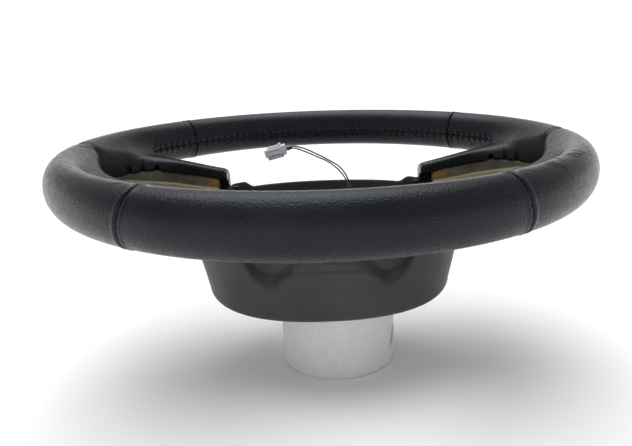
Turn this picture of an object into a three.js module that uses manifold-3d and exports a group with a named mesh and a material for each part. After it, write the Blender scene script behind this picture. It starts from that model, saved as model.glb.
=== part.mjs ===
// A leather-covered car steering wheel with its airbag taken out, standing on a short card tube.
// Millimetres, +Z up. The origin is on the surface it stands on, under the rim's centre, and the
// driver's side of the wheel faces up: +Y is 12 o'clock, -Y is 6 o'clock.
import * as THREE from "three";
import { mergeVertices } from "three/addons/utils/BufferGeometryUtils.js";
import Module from "manifold-3d";

const wasm = await Module();
wasm.setup();

// ---- Driving dimensions ----
const rimZ = 158.5; // height of the rim's centreline
const rimR = 175; // radius of the rim's centreline
const gripRadial = 13.2; // half the grip's thickness towards the hub, over the leather
const gripAxial = 17.1; // half the grip's thickness along the column, over the leather
const leather = 1.3; // thickness of the hide
const gap = 0.35; // clearance between pieces that touch
const padGap = 1; // clearance between a spoke's padding and the hide over it
const topSeam = 45.5; // degrees from 12 o'clock to the seams of the top panel
const bottomSeam = 32; // degrees from 6 o'clock to the seams of the bottom panel
const coreR = 5.5; // radius of the armature's ring inside the foam

const coverTopZ = rimZ - 34.5; // upper edge of the rear cover
const coverBottomZ = rimZ - 101.5; // its flat back
const coverWall = 2.5;
const coverTop = [102.5, 83]; // half width and half height of its upper edge
const coverBottom = [91, 73.5]; // the same just above the rounded corner
const coverCorner = 12; // radius of that corner
const coverPower = 2.25; // exponent of the rounded outline
const columnR = 52; // radius of the opening for the column shroud

const plateTopZ = rimZ - 53.5; // driver's side of the armature's hub plate
const plateThick = 5;
const boreR = 8.5; // bore for the steering shaft
const screwZ = rimZ - 48; // height of the two airbag screws
const tubeR = 43.6; // card tube, without its paper
const tubeWall = 4.2;
const tubeX = 5; // the tube stands a little off the wheel's axis
const paper = 0.6;

// ---- Materials ----
const paint = (color, roughness, metalness = 0) =>
  new THREE.MeshStandardMaterial({ color, roughness, metalness });
const hide = paint(0x2b2d31, 0.5);
const threadBlack = paint(0x1d1e21, 0.6);
const foam = paint(0x6b6342, 0.8);
const castMetal = paint(0x5c5e60, 0.55, 0.9);
const steel = paint(0x9a9c9e, 0.35, 1);
const blackPlastic = paint(0x303133, 0.55);
const greyPlastic = paint(0xb4b6bd, 0.5);
const card = paint(0xb08f66, 0.9);
const paperWhite = paint(0xcfcfd2, 0.9);
const brownWire = paint(0x8a4a2a, 0.5);
const greyWire = paint(0x55575a, 0.5);

// ---- Helpers ----
const group = new THREE.Group();
const degrees = THREE.MathUtils.degToRad;

// The solid of a closed three.js geometry.
function solid(geometry) {
  const bare = geometry.index ? geometry.toNonIndexed() : geometry.clone();
  for (const name of ["normal", "uv"]) bare.deleteAttribute(name);
  const merged = mergeVertices(bare, 1e-3);
  return new wasm.Manifold(
    new wasm.Mesh({
      numProp: 3,
      vertProperties: merged.attributes.position.array,
      triVerts: new Uint32Array(merged.index.array),
    }),
  );
}

// A solid as a three.js geometry.
function geometryOf(made) {
  const mesh = made.getMesh();
  const points = new Float32Array(mesh.numVert * 3);
  for (let i = 0; i < mesh.numVert; i++)
    points.set(mesh.vertProperties.subarray(i * mesh.numProp, i * mesh.numProp + 3), i * 3);
  const geometry = new THREE.BufferGeometry()
    .setAttribute("position", new THREE.BufferAttribute(points, 3))
    .setIndex(new THREE.BufferAttribute(mesh.triVerts, 1));
  geometry.computeVertexNormals();
  return geometry;
}

// Adds one named piece, from a solid or a geometry.
function piece(name, shape, material) {
  const mesh = new THREE.Mesh(shape.isBufferGeometry ? shape : geometryOf(shape), material);
  mesh.name = name;
  group.add(mesh);
  return mesh;
}

// A closed skin through rings of points, with flat ends, facing outwards whichever way they run.
function loft(rings) {
  const count = rings[0].length;
  const points = rings.flat();
  const faces = [];
  for (let i = 0; i + 1 < rings.length; i++)
    for (let j = 0; j < count; j++) {
      const a = i * count + j;
      const b = i * count + ((j + 1) % count);
      faces.push(a, b, b + count, a, b + count, a + count);
    }
  const last = (rings.length - 1) * count;
  for (let j = 1; j + 1 < count; j++) {
    faces.push(0, j + 1, j);
    faces.push(last, last + j, last + j + 1);
  }
  const geometry = new THREE.BufferGeometry().setFromPoints(points).setIndex(faces);
  const made = solid(geometry);
  if (made.volume() > 0) return made;
  return solid(geometry.setIndex(faces.reverse()));
}

// A turned solid: a closed outline of [radius, height] points turned round the Z axis.
function turned(outline, sides) {
  const points = outline.map(([r, z]) => new THREE.Vector2(r, z));
  if (THREE.ShapeUtils.area(points) < 0) points.reverse();
  points.push(points[0].clone());
  return solid(new THREE.LatheGeometry(points, sides).rotateX(Math.PI / 2));
}

// A turned solid whose axis is X, with heights along +X (side 1) or -X (side -1).
const turnedAlongX = (outline, sides, side, at) =>
  turned(outline, sides).rotate([0, side * 90, 0]).translate(at);

const block = (size, at) => solid(new THREE.BoxGeometry(...size)).translate(at);

// A cylinder along Z from one height to another.
const rod = (r, z0, z1, sides = 16) =>
  solid(new THREE.CylinderGeometry(r, r, z1 - z0, sides).rotateX(Math.PI / 2)).translate([
    0,
    0,
    (z0 + z1) / 2,
  ]);

const mirrored = (made) => made.mirror([1, 0, 0]);

// A ring of points on a rounded oval: power 2 is an ellipse, and more is squarer.
function oval(a, b, power, sides, z) {
  return Array.from({ length: sides }, (_, i) => {
    const t = (2 * Math.PI * i) / sides;
    const c = Math.cos(t);
    const s = Math.sin(t);
    return new THREE.Vector3(
      a * Math.sign(c) * Math.abs(c) ** (2 / power),
      b * Math.sign(s) * Math.abs(s) ** (2 / power),
      z,
    );
  });
}

// A straight-line reading of a table of [x, value] rows.
function read(table, x) {
  if (x <= table[0][0]) return table[0][1];
  for (let i = 1; i < table.length; i++) {
    const [x0, v0] = table[i - 1];
    const [x1, v1] = table[i];
    if (x <= x1) return v0 + ((v1 - v0) * (x - x0)) / (x1 - x0);
  }
  return table[table.length - 1][1];
}

// ---- Rim ----
const ellipse = (a, b, count) =>
  Array.from({ length: count }, (_, i) => {
    const t = (2 * Math.PI * i) / count;
    return [rimR + a * Math.cos(t), rimZ + b * Math.sin(t)];
  });
const rimSides = 48;
const gripOuter = turned(ellipse(gripRadial, gripAxial, 14), rimSides);
const gripInner = turned(ellipse(gripRadial - leather, gripAxial - leather, 14), rimSides);
const foamRing = turned(
  ellipse(gripRadial - leather - gap, gripAxial - leather - gap, 14),
  rimSides,
);

// A pie slice round the Z axis, from one angle to another in degrees, to cut the rim with.
function slice(from, to) {
  const reach = rimR * 1.5;
  const points = [new THREE.Vector2(0, 0)];
  const steps = 6;
  for (let i = 0; i <= steps; i++) {
    const t = degrees(from + ((to - from) * i) / steps);
    points.push(new THREE.Vector2(reach * Math.cos(t), reach * Math.sin(t)));
  }
  const geometry = new THREE.ExtrudeGeometry(new THREE.Shape(points), {
    depth: gripAxial * 4,
    bevelEnabled: false,
  });
  return solid(geometry).translate([0, 0, rimZ - gripAxial * 2]);
}

// The slices between the seams that the rim's panels and the foam under them fill.
const seamGap = 0.35; // half the gap at each seam, in degrees
const topSlice = slice(90 - topSeam + seamGap, 90 + topSeam - seamGap);
const bottomSlice = slice(-90 - bottomSeam + seamGap, -90 + bottomSeam - seamGap);
const rightSlice = slice(-90 + bottomSeam + seamGap, 90 - topSeam - seamGap);

// ---- Shell of the rear cover ----
// Its wall is a stack of rounded outlines. At 6 o'clock the upper wall is scooped inwards round a
// flat-topped hump, and at the four corners the upper edge rises into an ear.
const earHeight = 5;
const earX = 74;
const earHalfWidth = 9;
const scoopDepth = 9;
const scoopHalfWidth = 58;
const ease = (t) => {
  const u = Math.min(1, Math.max(0, t));
  return u * u * (3 - 2 * u);
};
const earRise = (x) => earHeight * ease(1.6 - Math.abs(Math.abs(x) - earX) / earHalfWidth);

// The lower boundary of the scoop, as [distance from the middle, height over the rim's centre].
const scoopEdge = [[0, -59.5], [20, -59.5], [30, -68], [38, -71], [47, -66.5], [58, -50]];
function scoopAt(x, y, z) {
  if (y > 0 || Math.abs(x) > scoopHalfWidth) return 0;
  const edge = rimZ + read(scoopEdge, Math.abs(x));
  return scoopDepth * ease((z - edge) / 16) * ease((scoopHalfWidth - Math.abs(x)) / 12);
}
const coverSides = 56;
function coverRing([a, b, z], inset) {
  return oval(a - inset, b - inset, coverPower, coverSides, z).map((point) => {
    const share = ease((z - coverTopZ + 14) / 14);
    const height = z + share * earRise(point.x);
    point.y += scoopAt(point.x, point.y, height);
    point.z = height;
    return point;
  });
}
const wallAt = (z) => {
  const t = (coverTopZ - z) / (coverTopZ - coverBottomZ - coverCorner);
  return [
    coverTop[0] + (coverBottom[0] - coverTop[0]) * t,
    coverTop[1] + (coverBottom[1] - coverTop[1]) * t,
    z,
  ];
};
const cornerAt = (angle) => {
  const t = degrees(angle);
  const inwards = coverCorner * (1 - Math.cos(t));
  return [
    coverBottom[0] - inwards,
    coverBottom[1] - inwards,
    coverBottomZ + coverCorner * (1 - Math.sin(t)),
  ];
};
// The rings from the flat back up to the upper edge, as [half width, half height, z].
const outerRings = [
  ...[90, 60, 30, 0].map(cornerAt),
  ...[46, 38, 33, 28, 23, 18, 10, 5, 0].map((down) => wallAt(coverTopZ - down)),
];
const coverOuter = loft(outerRings.map((r) => coverRing(r, 0)));
const coverRoom = loft(outerRings.map((r) => coverRing(r, -gap))).translate([0, 0, gap]);
const innerRings = outerRings.map(([a, b, z]) => [a, b, Math.max(z, coverBottomZ + coverWall)]);
innerRings.push([...coverTop, coverTopZ + 3]);
const coverInner = loft(innerRings.map((r) => coverRing(r, coverWall)));
const shell = coverOuter.subtract(coverInner).subtract(rod(columnR, 0, rimZ, 48));

// ---- Spokes: the right one is built, and the left one mirrors it ----
// Each row is [distance from the axis, value].
const spokeEnd = 79;
const spokeRoot = 170.3;
const spokeReach = rimR + 1.7; // the spoke stops at this radius, inside the rim
const spokeStations = [spokeEnd, 92, 106, 120, 134, 146, 156, spokeRoot];
const spokeHalfWidth = [[70, 61], [104, 60], [120, 61], [134, 64], [146, 70], [156, 79], [172, 92]];
const spokeTop = [[70, -16.6], [92, -11.6], [116, -5.8], [139, -1], [156, 2.5], [172, 6]];
const spokeUnder = [[70, -37], [104, -34], [130, -30], [156, -24], [172, -11]];
const troughHalfWidth = [[60, 38], [120, 38], [140, 34.5], [152, 27], [160, 18], [165, 6]];
const troughFloor = [[60, -33], [86, -30.2], [100, -28.2], [146, -20.3], [154, -16], [165, -8]];
const hideEdge = [[60, -27], [82, -22.6], [96, -18.6], [117, -15.1], [135, -11.6], [170, -6]];

// A rounded box section across the spoke at distance x, shrunk by inset.
function spokeSection(x, inset) {
  const w = read(spokeHalfWidth, x) - inset;
  const top = rimZ + read(spokeTop, x) - inset;
  const under = rimZ + read(spokeUnder, x) + inset;
  const middle = (top + under) / 2;
  const half = (top - under) / 2;
  const edge = half * 0.9; // how far the rounding reaches in from each side
  const ring = [];
  for (const [side, from] of [[1, -90], [-1, 90]])
    for (let i = 0; i <= 6; i++) {
      const t = degrees(from + i * 30);
      ring.push(
        new THREE.Vector3(x, side * (w - edge) + edge * Math.cos(t), middle + half * Math.sin(t)),
      );
    }
  return ring;
}

// The whole padded spoke, clear of the rear cover, with its hub end at the distance end.
const spokeSolid = (inset, end) =>
  loft(spokeStations.map((x, i) => spokeSection(i ? x : end, inset)))
    .intersect(rod(spokeReach, 0, rimZ * 2, 40))
    .subtract(coverRoom);

// The trough down the middle of the spoke, widened by extra and cut down to drop below floor.
function trough(extra, floor, drop = 0) {
  const stations = [60, 84, 115, 140, 152, 160, 165];
  return loft(
    stations.map((x) => {
      const w = read(troughHalfWidth, x) + extra;
      const at = x + (x > 150 ? extra : 0);
      const low = rimZ + read(floor, x) - drop;
      const high = rimZ + 40;
      return [
        new THREE.Vector3(at, -w, low),
        new THREE.Vector3(at, w, low),
        new THREE.Vector3(at, w, high),
        new THREE.Vector3(at, -w, high),
      ];
    }),
  );
}
const troughCut = trough(0, troughFloor);
const hideFold = trough(leather + gap, hideEdge, gap);

// The hide over one spoke and its part of the rim.
const spokeOuter = spokeSolid(0, spokeEnd);
const spokeInner = spokeSolid(leather, spokeEnd - 4);
const spokeFoam = spokeSolid(leather + padGap, spokeEnd + gap);
const outerSide = gripOuter.intersect(rightSlice).add(spokeOuter);
const innerSide = gripInner.add(spokeInner.subtract(trough(leather, hideEdge)));
const hideRight = outerSide.subtract(innerSide).subtract(troughCut);

// ---- Armature: one casting of hub plate, four spoke bars and the rim's ring ----
const barWidth = 12;
const barDepth = 5;
const barY = 48; // distance of each bar from the spoke's middle line
const barRoute = [
  [30, 20, -54.4],
  [52, 34, -54],
  [64, 42, -47],
  [74, 46, -36],
  [82, 47.5, -31.2],
  [92, barY, -29],
  [120, barY, -19],
  [150, barY, -7.5],
  [168, barY, -2],
];
function bar(sign, extra) {
  const w = barWidth / 2 + extra;
  const d = barDepth / 2 + extra;
  return loft(
    barRoute.map(([x, y, z]) => [
      new THREE.Vector3(x, sign * y - w, rimZ + z - d),
      new THREE.Vector3(x, sign * y + w, rimZ + z - d),
      new THREE.Vector3(x, sign * y + w, rimZ + z + d),
      new THREE.Vector3(x, sign * y - w, rimZ + z + d),
    ]),
  );
}
function armatureFrame(extra) {
  const ring = turned(
    Array.from({ length: 8 }, (_, i) => {
      const t = (2 * Math.PI * i) / 8;
      return [rimR + (coreR + extra) * Math.cos(t), rimZ + (coreR + extra) * Math.sin(t)];
    }),
    rimSides,
  );
  const right = bar(1, extra).add(bar(-1, extra));
  return ring.add(right).add(mirrored(right));
}

// The hub plate is a rounded oval, with a hole for the boss and a lug each side for an airbag screw.
const plate = [76, 48];
const lugX = 68; // inner face of each lug
const lugThick = 4;
const bossR = 20;
const coverScrews = [[64, 22], [64, -22], [-64, 22], [-64, -22]];
let armature = armatureFrame(0).add(
  loft([
    oval(plate[0], plate[1], 2.6, 32, plateTopZ - plateThick),
    oval(plate[0], plate[1], 2.6, 32, plateTopZ),
  ]),
);
for (const side of [1, -1]) {
  const lug = block(
    [lugThick, 30, 24],
    [side * (lugX + lugThick / 2), 0, plateTopZ + 7],
  );
  const pocket = block([10, 20, 30], [side * (plate[0] + 1), 0, plateTopZ]);
  const hole = turnedAlongX([[0, -20], [3.4, -20], [3.4, 20], [0, 20]], 16, 1, [
    side * lugX,
    0,
    screwZ,
  ]);
  armature = armature.subtract(pocket).add(lug).subtract(hole);
}
armature = armature.subtract(rod(bossR + gap, plateTopZ - 10, plateTopZ + 10, 24));
for (const [x, y] of coverScrews)
  armature = armature.subtract(rod(2.1, plateTopZ - 20, plateTopZ + 20, 10).translate([x, y, 0]));
piece("armature_casting", armature, castMetal);

// The steel boss pressed into the plate, with a flange over and under it.
const bossFlange = 24;
piece(
  "splined_boss",
  turned(
    [
      [boreR, plateTopZ - 38],
      [15, plateTopZ - 38],
      [bossR, plateTopZ - 32],
      [bossR, plateTopZ + gap],
      [bossFlange, plateTopZ + gap],
      [bossFlange, plateTopZ + 3],
      [15, plateTopZ + 4.5],
      [boreR, plateTopZ + 4.5],
    ],
    28,
  ),
  steel,
);

// ---- Foam over the ring and the spokes ----
// It is parted behind the leather's seams, and where each spoke's two pads meet the rim and each
// other.
const spokePads = spokeFoam.subtract(troughCut).subtract(hideFold);
const troughs = troughCut.add(hideFold);
const foamBody = foamRing
  .subtract(troughs)
  .subtract(mirrored(troughs))
  .add(spokePads)
  .add(mirrored(spokePads))
  .subtract(armatureFrame(gap));
const foamRight = foamBody.intersect(rightSlice);
piece("foam_top", foamBody.intersect(topSlice), foam);
piece("foam_bottom", foamBody.intersect(bottomSlice), foam);
const padReach = 146.5; // where a spoke's pad parts from the rim's foam
const padHalf = 70.5; // half the width of both pads together there
const padRoom = (inset, side) =>
  block(
    [padReach - inset, padHalf - inset, rimZ],
    [(padReach - inset) / 2, (side * (padHalf + inset)) / 2, rimZ],
  );
const bothPads = block([padReach, padHalf * 2, rimZ], [padReach / 2, 0, rimZ]);
for (const [name, shape] of [
  ["rim", foamRight.subtract(bothPads)],
  ["pad_upper", foamRight.intersect(padRoom(gap, 1))],
  ["pad_lower", foamRight.intersect(padRoom(gap, -1))],
]) {
  piece("foam_right_" + name, shape, foam);
  piece("foam_left_" + name, mirrored(shape), foam);
}

// ---- Leather panels ----
const hideTube = gripOuter.subtract(gripInner);
piece("leather_top", hideTube.intersect(topSlice), hide);
piece("leather_bottom", hideTube.intersect(bottomSlice), hide);
piece("leather_right", hideRight, hide);
piece("leather_left", mirrored(hideRight), hide);

// The lacing that closes each panel lies along the inside of the rim.
const laceR = 0.6;
function lacing(from, to) {
  const curve = new THREE.CatmullRomCurve3(
    Array.from({ length: 9 }, (_, i) => {
      const t = degrees(from + ((to - from) * i) / 8);
      const r = rimR - gripRadial - laceR - gap;
      return new THREE.Vector3(r * Math.cos(t), r * Math.sin(t), rimZ);
    }),
  );
  const section = new THREE.Shape(
    Array.from({ length: 6 }, (_, i) => {
      const t = (2 * Math.PI * i) / 6;
      return new THREE.Vector2(laceR * Math.cos(t), laceR * Math.sin(t));
    }),
  );
  return new THREE.ExtrudeGeometry(section, { steps: 14, extrudePath: curve });
}
const laceStop = 36; // degrees from 3 and 9 o'clock where the spokes begin
piece("lacing_top", lacing(90 - topSeam + 1, 90 + topSeam - 1), threadBlack);
piece("lacing_bottom", lacing(-90 - bottomSeam + 1, -90 + bottomSeam - 1), threadBlack);
piece("lacing_right_upper", lacing(laceStop, 90 - topSeam - 1), threadBlack);
piece("lacing_left_upper", lacing(90 + topSeam + 1, 180 - laceStop), threadBlack);
piece("lacing_right_lower", lacing(-90 + bottomSeam + 1, -laceStop), threadBlack);
piece("lacing_left_lower", lacing(180 + laceStop, 270 - bottomSeam - 1), threadBlack);

// ---- Rear cover, with its posts, holes, lids and screws ----
// Four posts reach up to the hub plate, each with a deep seat for its screw.
const postR = 6;
const seatZ = coverBottomZ + 12;
let cover = shell;
for (const [x, y] of coverScrews) {
  const post = rod(postR, coverBottomZ + 1, plateTopZ - plateThick - gap, 14);
  const seat = rod(4.4, coverBottomZ - 1, seatZ, 14);
  const shank = rod(2.2, seatZ - 1, plateTopZ, 10);
  cover = cover.add(post.translate([x, y, 0])).subtract(seat.add(shank).translate([x, y, 0]));
}

// A hole each side for the airbag screw, closed by a lid, and one at 6 o'clock. The ears are
// notched where the armature's bars pass over the edge.
const lidR = 11;
const sideHole = (r) =>
  turnedAlongX([[0, 80], [r, 80], [r, 120], [0, 120]], 24, 1, [0, 0, screwZ]);
const lowerHole = solid(new THREE.CylinderGeometry(5.5, 5.5, 60, 16)).translate([
  0,
  -80,
  rimZ - 52,
]);
cover = cover
  .subtract(sideHole(lidR))
  .subtract(mirrored(sideHole(lidR)))
  .subtract(lowerHole)
  .subtract(armatureFrame(gap));
piece("rear_cover", cover, blackPlastic);

const lidLegs = block([8, 6, 1.4], [95.5, 0, screwZ + 8.6]).add(
  block([8, 6, 1.4], [95.5, 0, screwZ - 8.6]),
);
const lid = shell.intersect(sideHole(lidR - gap)).add(lidLegs);
piece("access_lid_right", lid, blackPlastic);
piece("access_lid_left", mirrored(lid), blackPlastic);

coverScrews.forEach(([x, y], i) =>
  piece(
    "cover_screw_" + (i + 1),
    turned(
      [
        [0, seatZ - 3],
        [3.8, seatZ - 3],
        [4, seatZ - gap],
        [1.8, seatZ - gap],
        [1.8, plateTopZ - 1],
        [0, plateTopZ],
      ],
      12,
    ).translate([x, y, 0]),
    steel,
  ),
);

// ---- Airbag screws, each held by a plastic case on its lug ----
const caseBase = lugX + lugThick + gap;
const caseTop = caseBase + 17.2;
const screwHeadFrom = caseBase + 2.6;
const screwTravel = 8; // how far each screw can back out
const screwTip = lugX - 8;
const alongX = (outline, sides) => turnedAlongX(outline, sides, 1, [0, 0, screwZ]);
const screwCase = alongX(
  [
    [3.5, caseBase],
    [9, caseBase],
    [9, caseTop],
    [4.8, caseTop],
    [4.8, screwHeadFrom + 5.4 + screwTravel],
    [6.8, screwHeadFrom + 5.4 + screwTravel],
    [6.8, caseBase + 2],
    [3.5, caseBase + 2],
  ],
  18,
);
const airbagScrew = alongX(
  [
    [0, screwTip],
    [2.4, screwTip],
    [3, screwTip + 1],
    [3, screwHeadFrom],
    [5.6, screwHeadFrom],
    [5.6, screwHeadFrom + 4],
    [4.6, screwHeadFrom + 5],
    [2.8, screwHeadFrom + 5],
    [2.8, screwHeadFrom + 2],
    [0, screwHeadFrom + 2],
  ],
  18,
);
piece("screw_case_right", screwCase, blackPlastic);
piece("screw_case_left", mirrored(screwCase), blackPlastic);
piece("airbag_screw_right", airbagScrew, steel);
piece("airbag_screw_left", mirrored(airbagScrew), steel);

// ---- Lead from the hub: a terminal block, two thin wires, a sleeve and a connector ----
const wireR = 0.6;
const leadBlock = [38, -8]; // place of the terminal block on the hub plate
const blockTopZ = plateTopZ + gap + 9;
piece(
  "terminal_block",
  block([14, 10, 9], [leadBlock[0], leadBlock[1], plateTopZ + gap + 4.5]).subtract(
    rod(2.3, plateTopZ, rimZ, 10).translate([leadBlock[0] + 2.5, leadBlock[1] - 1, 0]),
  ),
  blackPlastic,
);
piece(
  "terminal_screw",
  turned(
    [
      [0, plateTopZ + 2],
      [2, plateTopZ + 2],
      [2, blockTopZ + gap],
      [3.4, blockTopZ + gap],
      [3.4, blockTopZ + 2],
      [0, blockTopZ + 2.4],
    ],
    12,
  ).translate([leadBlock[0] + 2.5, leadBlock[1] - 1, 0]),
  steel,
);

// Both wires leave the block's side towards 12 o'clock, run over the plate and stand up in an arch.
const wireExitY = leadBlock[1] + 5 + gap;
const brownRoute = [
  [34.6, wireExitY, -49.2],
  [33.8, 3, -49.2],
  [30.5, 12, -49],
  [25.5, 20.5, -47],
  [20.6, 26.5, -41],
  [18.1, 28.8, -32],
  [15.8, 29, -23.4],
  [9.6, 29, -14.6],
  [1.6, 29, -8],
  [-7.5, 29, -3.4],
  [-16.5, 29, 0.8],
  [-23.5, 29.2, 3.4],
  [-27, 29.2, 3.3],
  [-30.4, 29.2, 2.4],
];
const greyRoute = [
  [37.4, wireExitY, -49.2],
  [36.6, 3.4, -49.2],
  [33, 13.2, -48.8],
  [27.8, 22.4, -46.6],
  [22.4, 28.8, -40],
  [19.5, 31, -31.6],
  [16.8, 31.2, -22],
  [10.8, 31.2, -13],
  [2, 31.2, -7],
  [-7, 31.2, -2],
  [-16.5, 31.1, 2.6],
  [-23.5, 31, 4.6],
  [-27, 31, 4.5],
  [-30.4, 31, 3.6],
];
function wire(route) {
  const curve = new THREE.CatmullRomCurve3(
    route.map(([x, y, z]) => new THREE.Vector3(x, y, rimZ + z)),
  );
  const section = new THREE.Shape(
    Array.from({ length: 8 }, (_, i) => {
      const t = (2 * Math.PI * i) / 8;
      return new THREE.Vector2(wireR * Math.cos(t), wireR * Math.sin(t));
    }),
  );
  return new THREE.ExtrudeGeometry(section, { steps: 40, extrudePath: curve });
}
piece("wire_brown", wire(brownRoute), brownWire);
piece("wire_grey", wire(greyRoute), greyWire);

// The sleeve and the connector share a frame at the connector's wire end, tilted like the lead.
const leadEnd = new THREE.Vector3(-30.4, 30.1, rimZ + 3);
const leadTilt = 14; // degrees that the connector's far end hangs lower
const placed = (made) => made.rotate([0, -leadTilt, 0]).translate(leadEnd.toArray());
piece(
  "lead_sleeve",
  placed(
    turned([[2.5, 0.6], [3.1, 0.6], [3.1, 4.6], [2.5, 4.6]], 14).rotate([0, 90, 0]),
  ),
  blackPlastic,
);
const connectorLong = 17;
const connectorBody = block([connectorLong, 9, 6], [-connectorLong / 2 - gap, 0, 0.6])
  .add(block([connectorLong - 4, 6.5, 3.2], [-connectorLong / 2 - 1.5, 0, -3.6]))
  .subtract(block([7, 7, 3.6], [-connectorLong, 0, 0.8]));
piece("connector_housing", placed(connectorBody), greyPlastic);
piece(
  "connector_latch",
  placed(
    block([11, 3.4, 1.1], [-9, 0, 4.6]).add(block([2, 3.4, 1.2], [-4.5, 0, 5.4])),
  ),
  greyPlastic,
);

// ---- Stand: a card tube faced with paper. The hub plate rests on its top. ----
const standTopZ = plateTopZ - plateThick - gap;
piece(
  "stand_tube",
  turned(
    [
      [tubeR - tubeWall, 0],
      [tubeR, 0],
      [tubeR, standTopZ],
      [tubeR - tubeWall, standTopZ],
    ],
    40,
  ).translate([tubeX, 0, 0]),
  card,
);
piece(
  "stand_paper",
  turned(
    [
      [tubeR + 0.1, 0.5],
      [tubeR + 0.1 + paper, 0.5],
      [tubeR + 0.1 + paper, standTopZ - 1],
      [tubeR + 0.1, standTopZ - 1],
    ],
    40,
  ).translate([tubeX, 0, 0]),
  paperWhite,
);

export default group;
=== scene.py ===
"""A leather-covered car steering wheel with its airbag taken out, standing on a short card tube.

Sizes are in millimetres in the tables below and become metres in new_mesh. +Z is up the wheel's
axis towards the driver, +Y is 12 o'clock, and the tube stands on z = 0.
"""

import math

import bmesh
import bpy
import numpy as np
import openvdb
from mathutils import Matrix, Vector


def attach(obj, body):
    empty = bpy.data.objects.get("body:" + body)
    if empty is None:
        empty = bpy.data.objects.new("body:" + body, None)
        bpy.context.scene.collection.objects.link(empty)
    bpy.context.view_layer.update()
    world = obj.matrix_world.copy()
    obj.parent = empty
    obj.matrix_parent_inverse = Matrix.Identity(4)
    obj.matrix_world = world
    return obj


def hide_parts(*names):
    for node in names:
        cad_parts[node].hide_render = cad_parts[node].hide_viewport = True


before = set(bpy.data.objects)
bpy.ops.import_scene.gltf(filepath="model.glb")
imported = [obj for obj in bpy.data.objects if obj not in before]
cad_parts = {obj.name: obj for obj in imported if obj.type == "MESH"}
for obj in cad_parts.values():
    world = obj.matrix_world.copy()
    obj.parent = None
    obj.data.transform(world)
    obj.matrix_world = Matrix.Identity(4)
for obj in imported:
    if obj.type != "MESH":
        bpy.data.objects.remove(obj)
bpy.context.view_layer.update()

MM = 0.001
RIM_Z = 158.5  # height of the rim's centreline
RIM_R = 175.0  # radius of the rim's centreline
GRIP = (13.2, 17.1)  # half the grip's thickness towards the hub and along the column
TOP_SEAMS = (45.3, 136.0)  # degrees round from 3 o'clock
BOTTOM_SEAMS = (237.1, 302.7)
SEAM_LEAN = 0.25  # how far the bottom seams move from 6 o'clock for each step down
SEAM_GAP = 0.2  # half the gap between two panels
SKIN_STEP = 1.0  # size of a face on the leather

# ------------------------------------------------------------------ camera, light and floor


CAMERA_AT = (0, -0.44066, 0.2385)  # metres
CAMERA_RIGHT = (0.99843, -0.0503, -0.0248)
CAMERA_UP = (0.03778, 0.27637, 0.96031)
CAMERA_LENS = 34.285
CAMERA_SHIFT = (-0.0585, -0.0064)
# Soft lights all round: (towards, where the light starts, where it is full, strength)
OVERHEAD = ((-0.08, 0.27, 0.95), 0.78, 0.97, 2.5)
BEHIND = ((0.03, 1, -0.12), 0.76, 0.86, 0.5)
HORIZON = ((0, 0, -1), -0.24, -0.03, 0.42)
ALL_ROUND = 0.45
SUN_STRENGTH = 0.8
FLOOR_SIZE = 40


def make_camera():
    """The camera, a little above the rim and looking down at 6 o'clock."""
    data = bpy.data.cameras.new("camera")
    camera = bpy.data.objects.new("camera", data)
    bpy.context.scene.collection.objects.link(camera)
    right = Vector(CAMERA_RIGHT).normalized()
    up = Vector(CAMERA_UP)
    up = (up - up.dot(right) * right).normalized()
    back = right.cross(up)
    turn = Matrix((right, up, back)).transposed().to_4x4()
    camera.matrix_world = Matrix.Translation(CAMERA_AT) @ turn
    data.sensor_width = 36
    data.lens = CAMERA_LENS
    data.shift_x, data.shift_y = CAMERA_SHIFT
    data.clip_start = 0.01
    bpy.context.scene.camera = camera


def make_surround():
    """A soft surround, brighter overhead and behind."""
    world = bpy.data.worlds.new("studio")
    world.use_nodes = True
    tree = world.node_tree
    sky = tree.nodes["Background"]
    sky.inputs["Color"].default_value = (1, 1, 1, 1)
    place = tree.nodes.new("ShaderNodeTexCoord")

    def share(towards, low, high, most):
        """A light that grows from none to the most as the view turns towards a direction."""
        facing = tree.nodes.new("ShaderNodeVectorMath")
        facing.operation = "DOT_PRODUCT"
        facing.inputs[1].default_value = Vector(towards).normalized()
        tree.links.new(place.outputs["Generated"], facing.inputs[0])
        scale = tree.nodes.new("ShaderNodeMapRange")
        scale.interpolation_type = "SMOOTHSTEP"
        scale.inputs["From Min"].default_value = low
        scale.inputs["From Max"].default_value = high
        scale.inputs["To Max"].default_value = most
        tree.links.new(facing.outputs["Value"], scale.inputs["Value"])
        return scale.outputs["Result"]

    sum_so_far = None
    for light in (OVERHEAD, BEHIND, HORIZON):
        node = tree.nodes.new("ShaderNodeMath")
        node.inputs[0].default_value = ALL_ROUND
        if sum_so_far:
            tree.links.new(sum_so_far, node.inputs[0])
        tree.links.new(share(*light), node.inputs[1])
        sum_so_far = node.outputs[0]
    tree.links.new(sum_so_far, sky.inputs["Strength"])
    bpy.context.scene.world = world
    bpy.context.scene.view_settings.view_transform = "Standard"


def make_sun():
    """A mild, very soft sun from overhead."""
    sun = bpy.data.lights.new("sun", "SUN")
    sun.energy = SUN_STRENGTH
    sun.angle = math.radians(60)
    lamp = bpy.data.objects.new("sun", sun)
    lamp.rotation_euler = (math.radians(-10), math.radians(-8), 0)
    bpy.context.scene.collection.objects.link(lamp)


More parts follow.
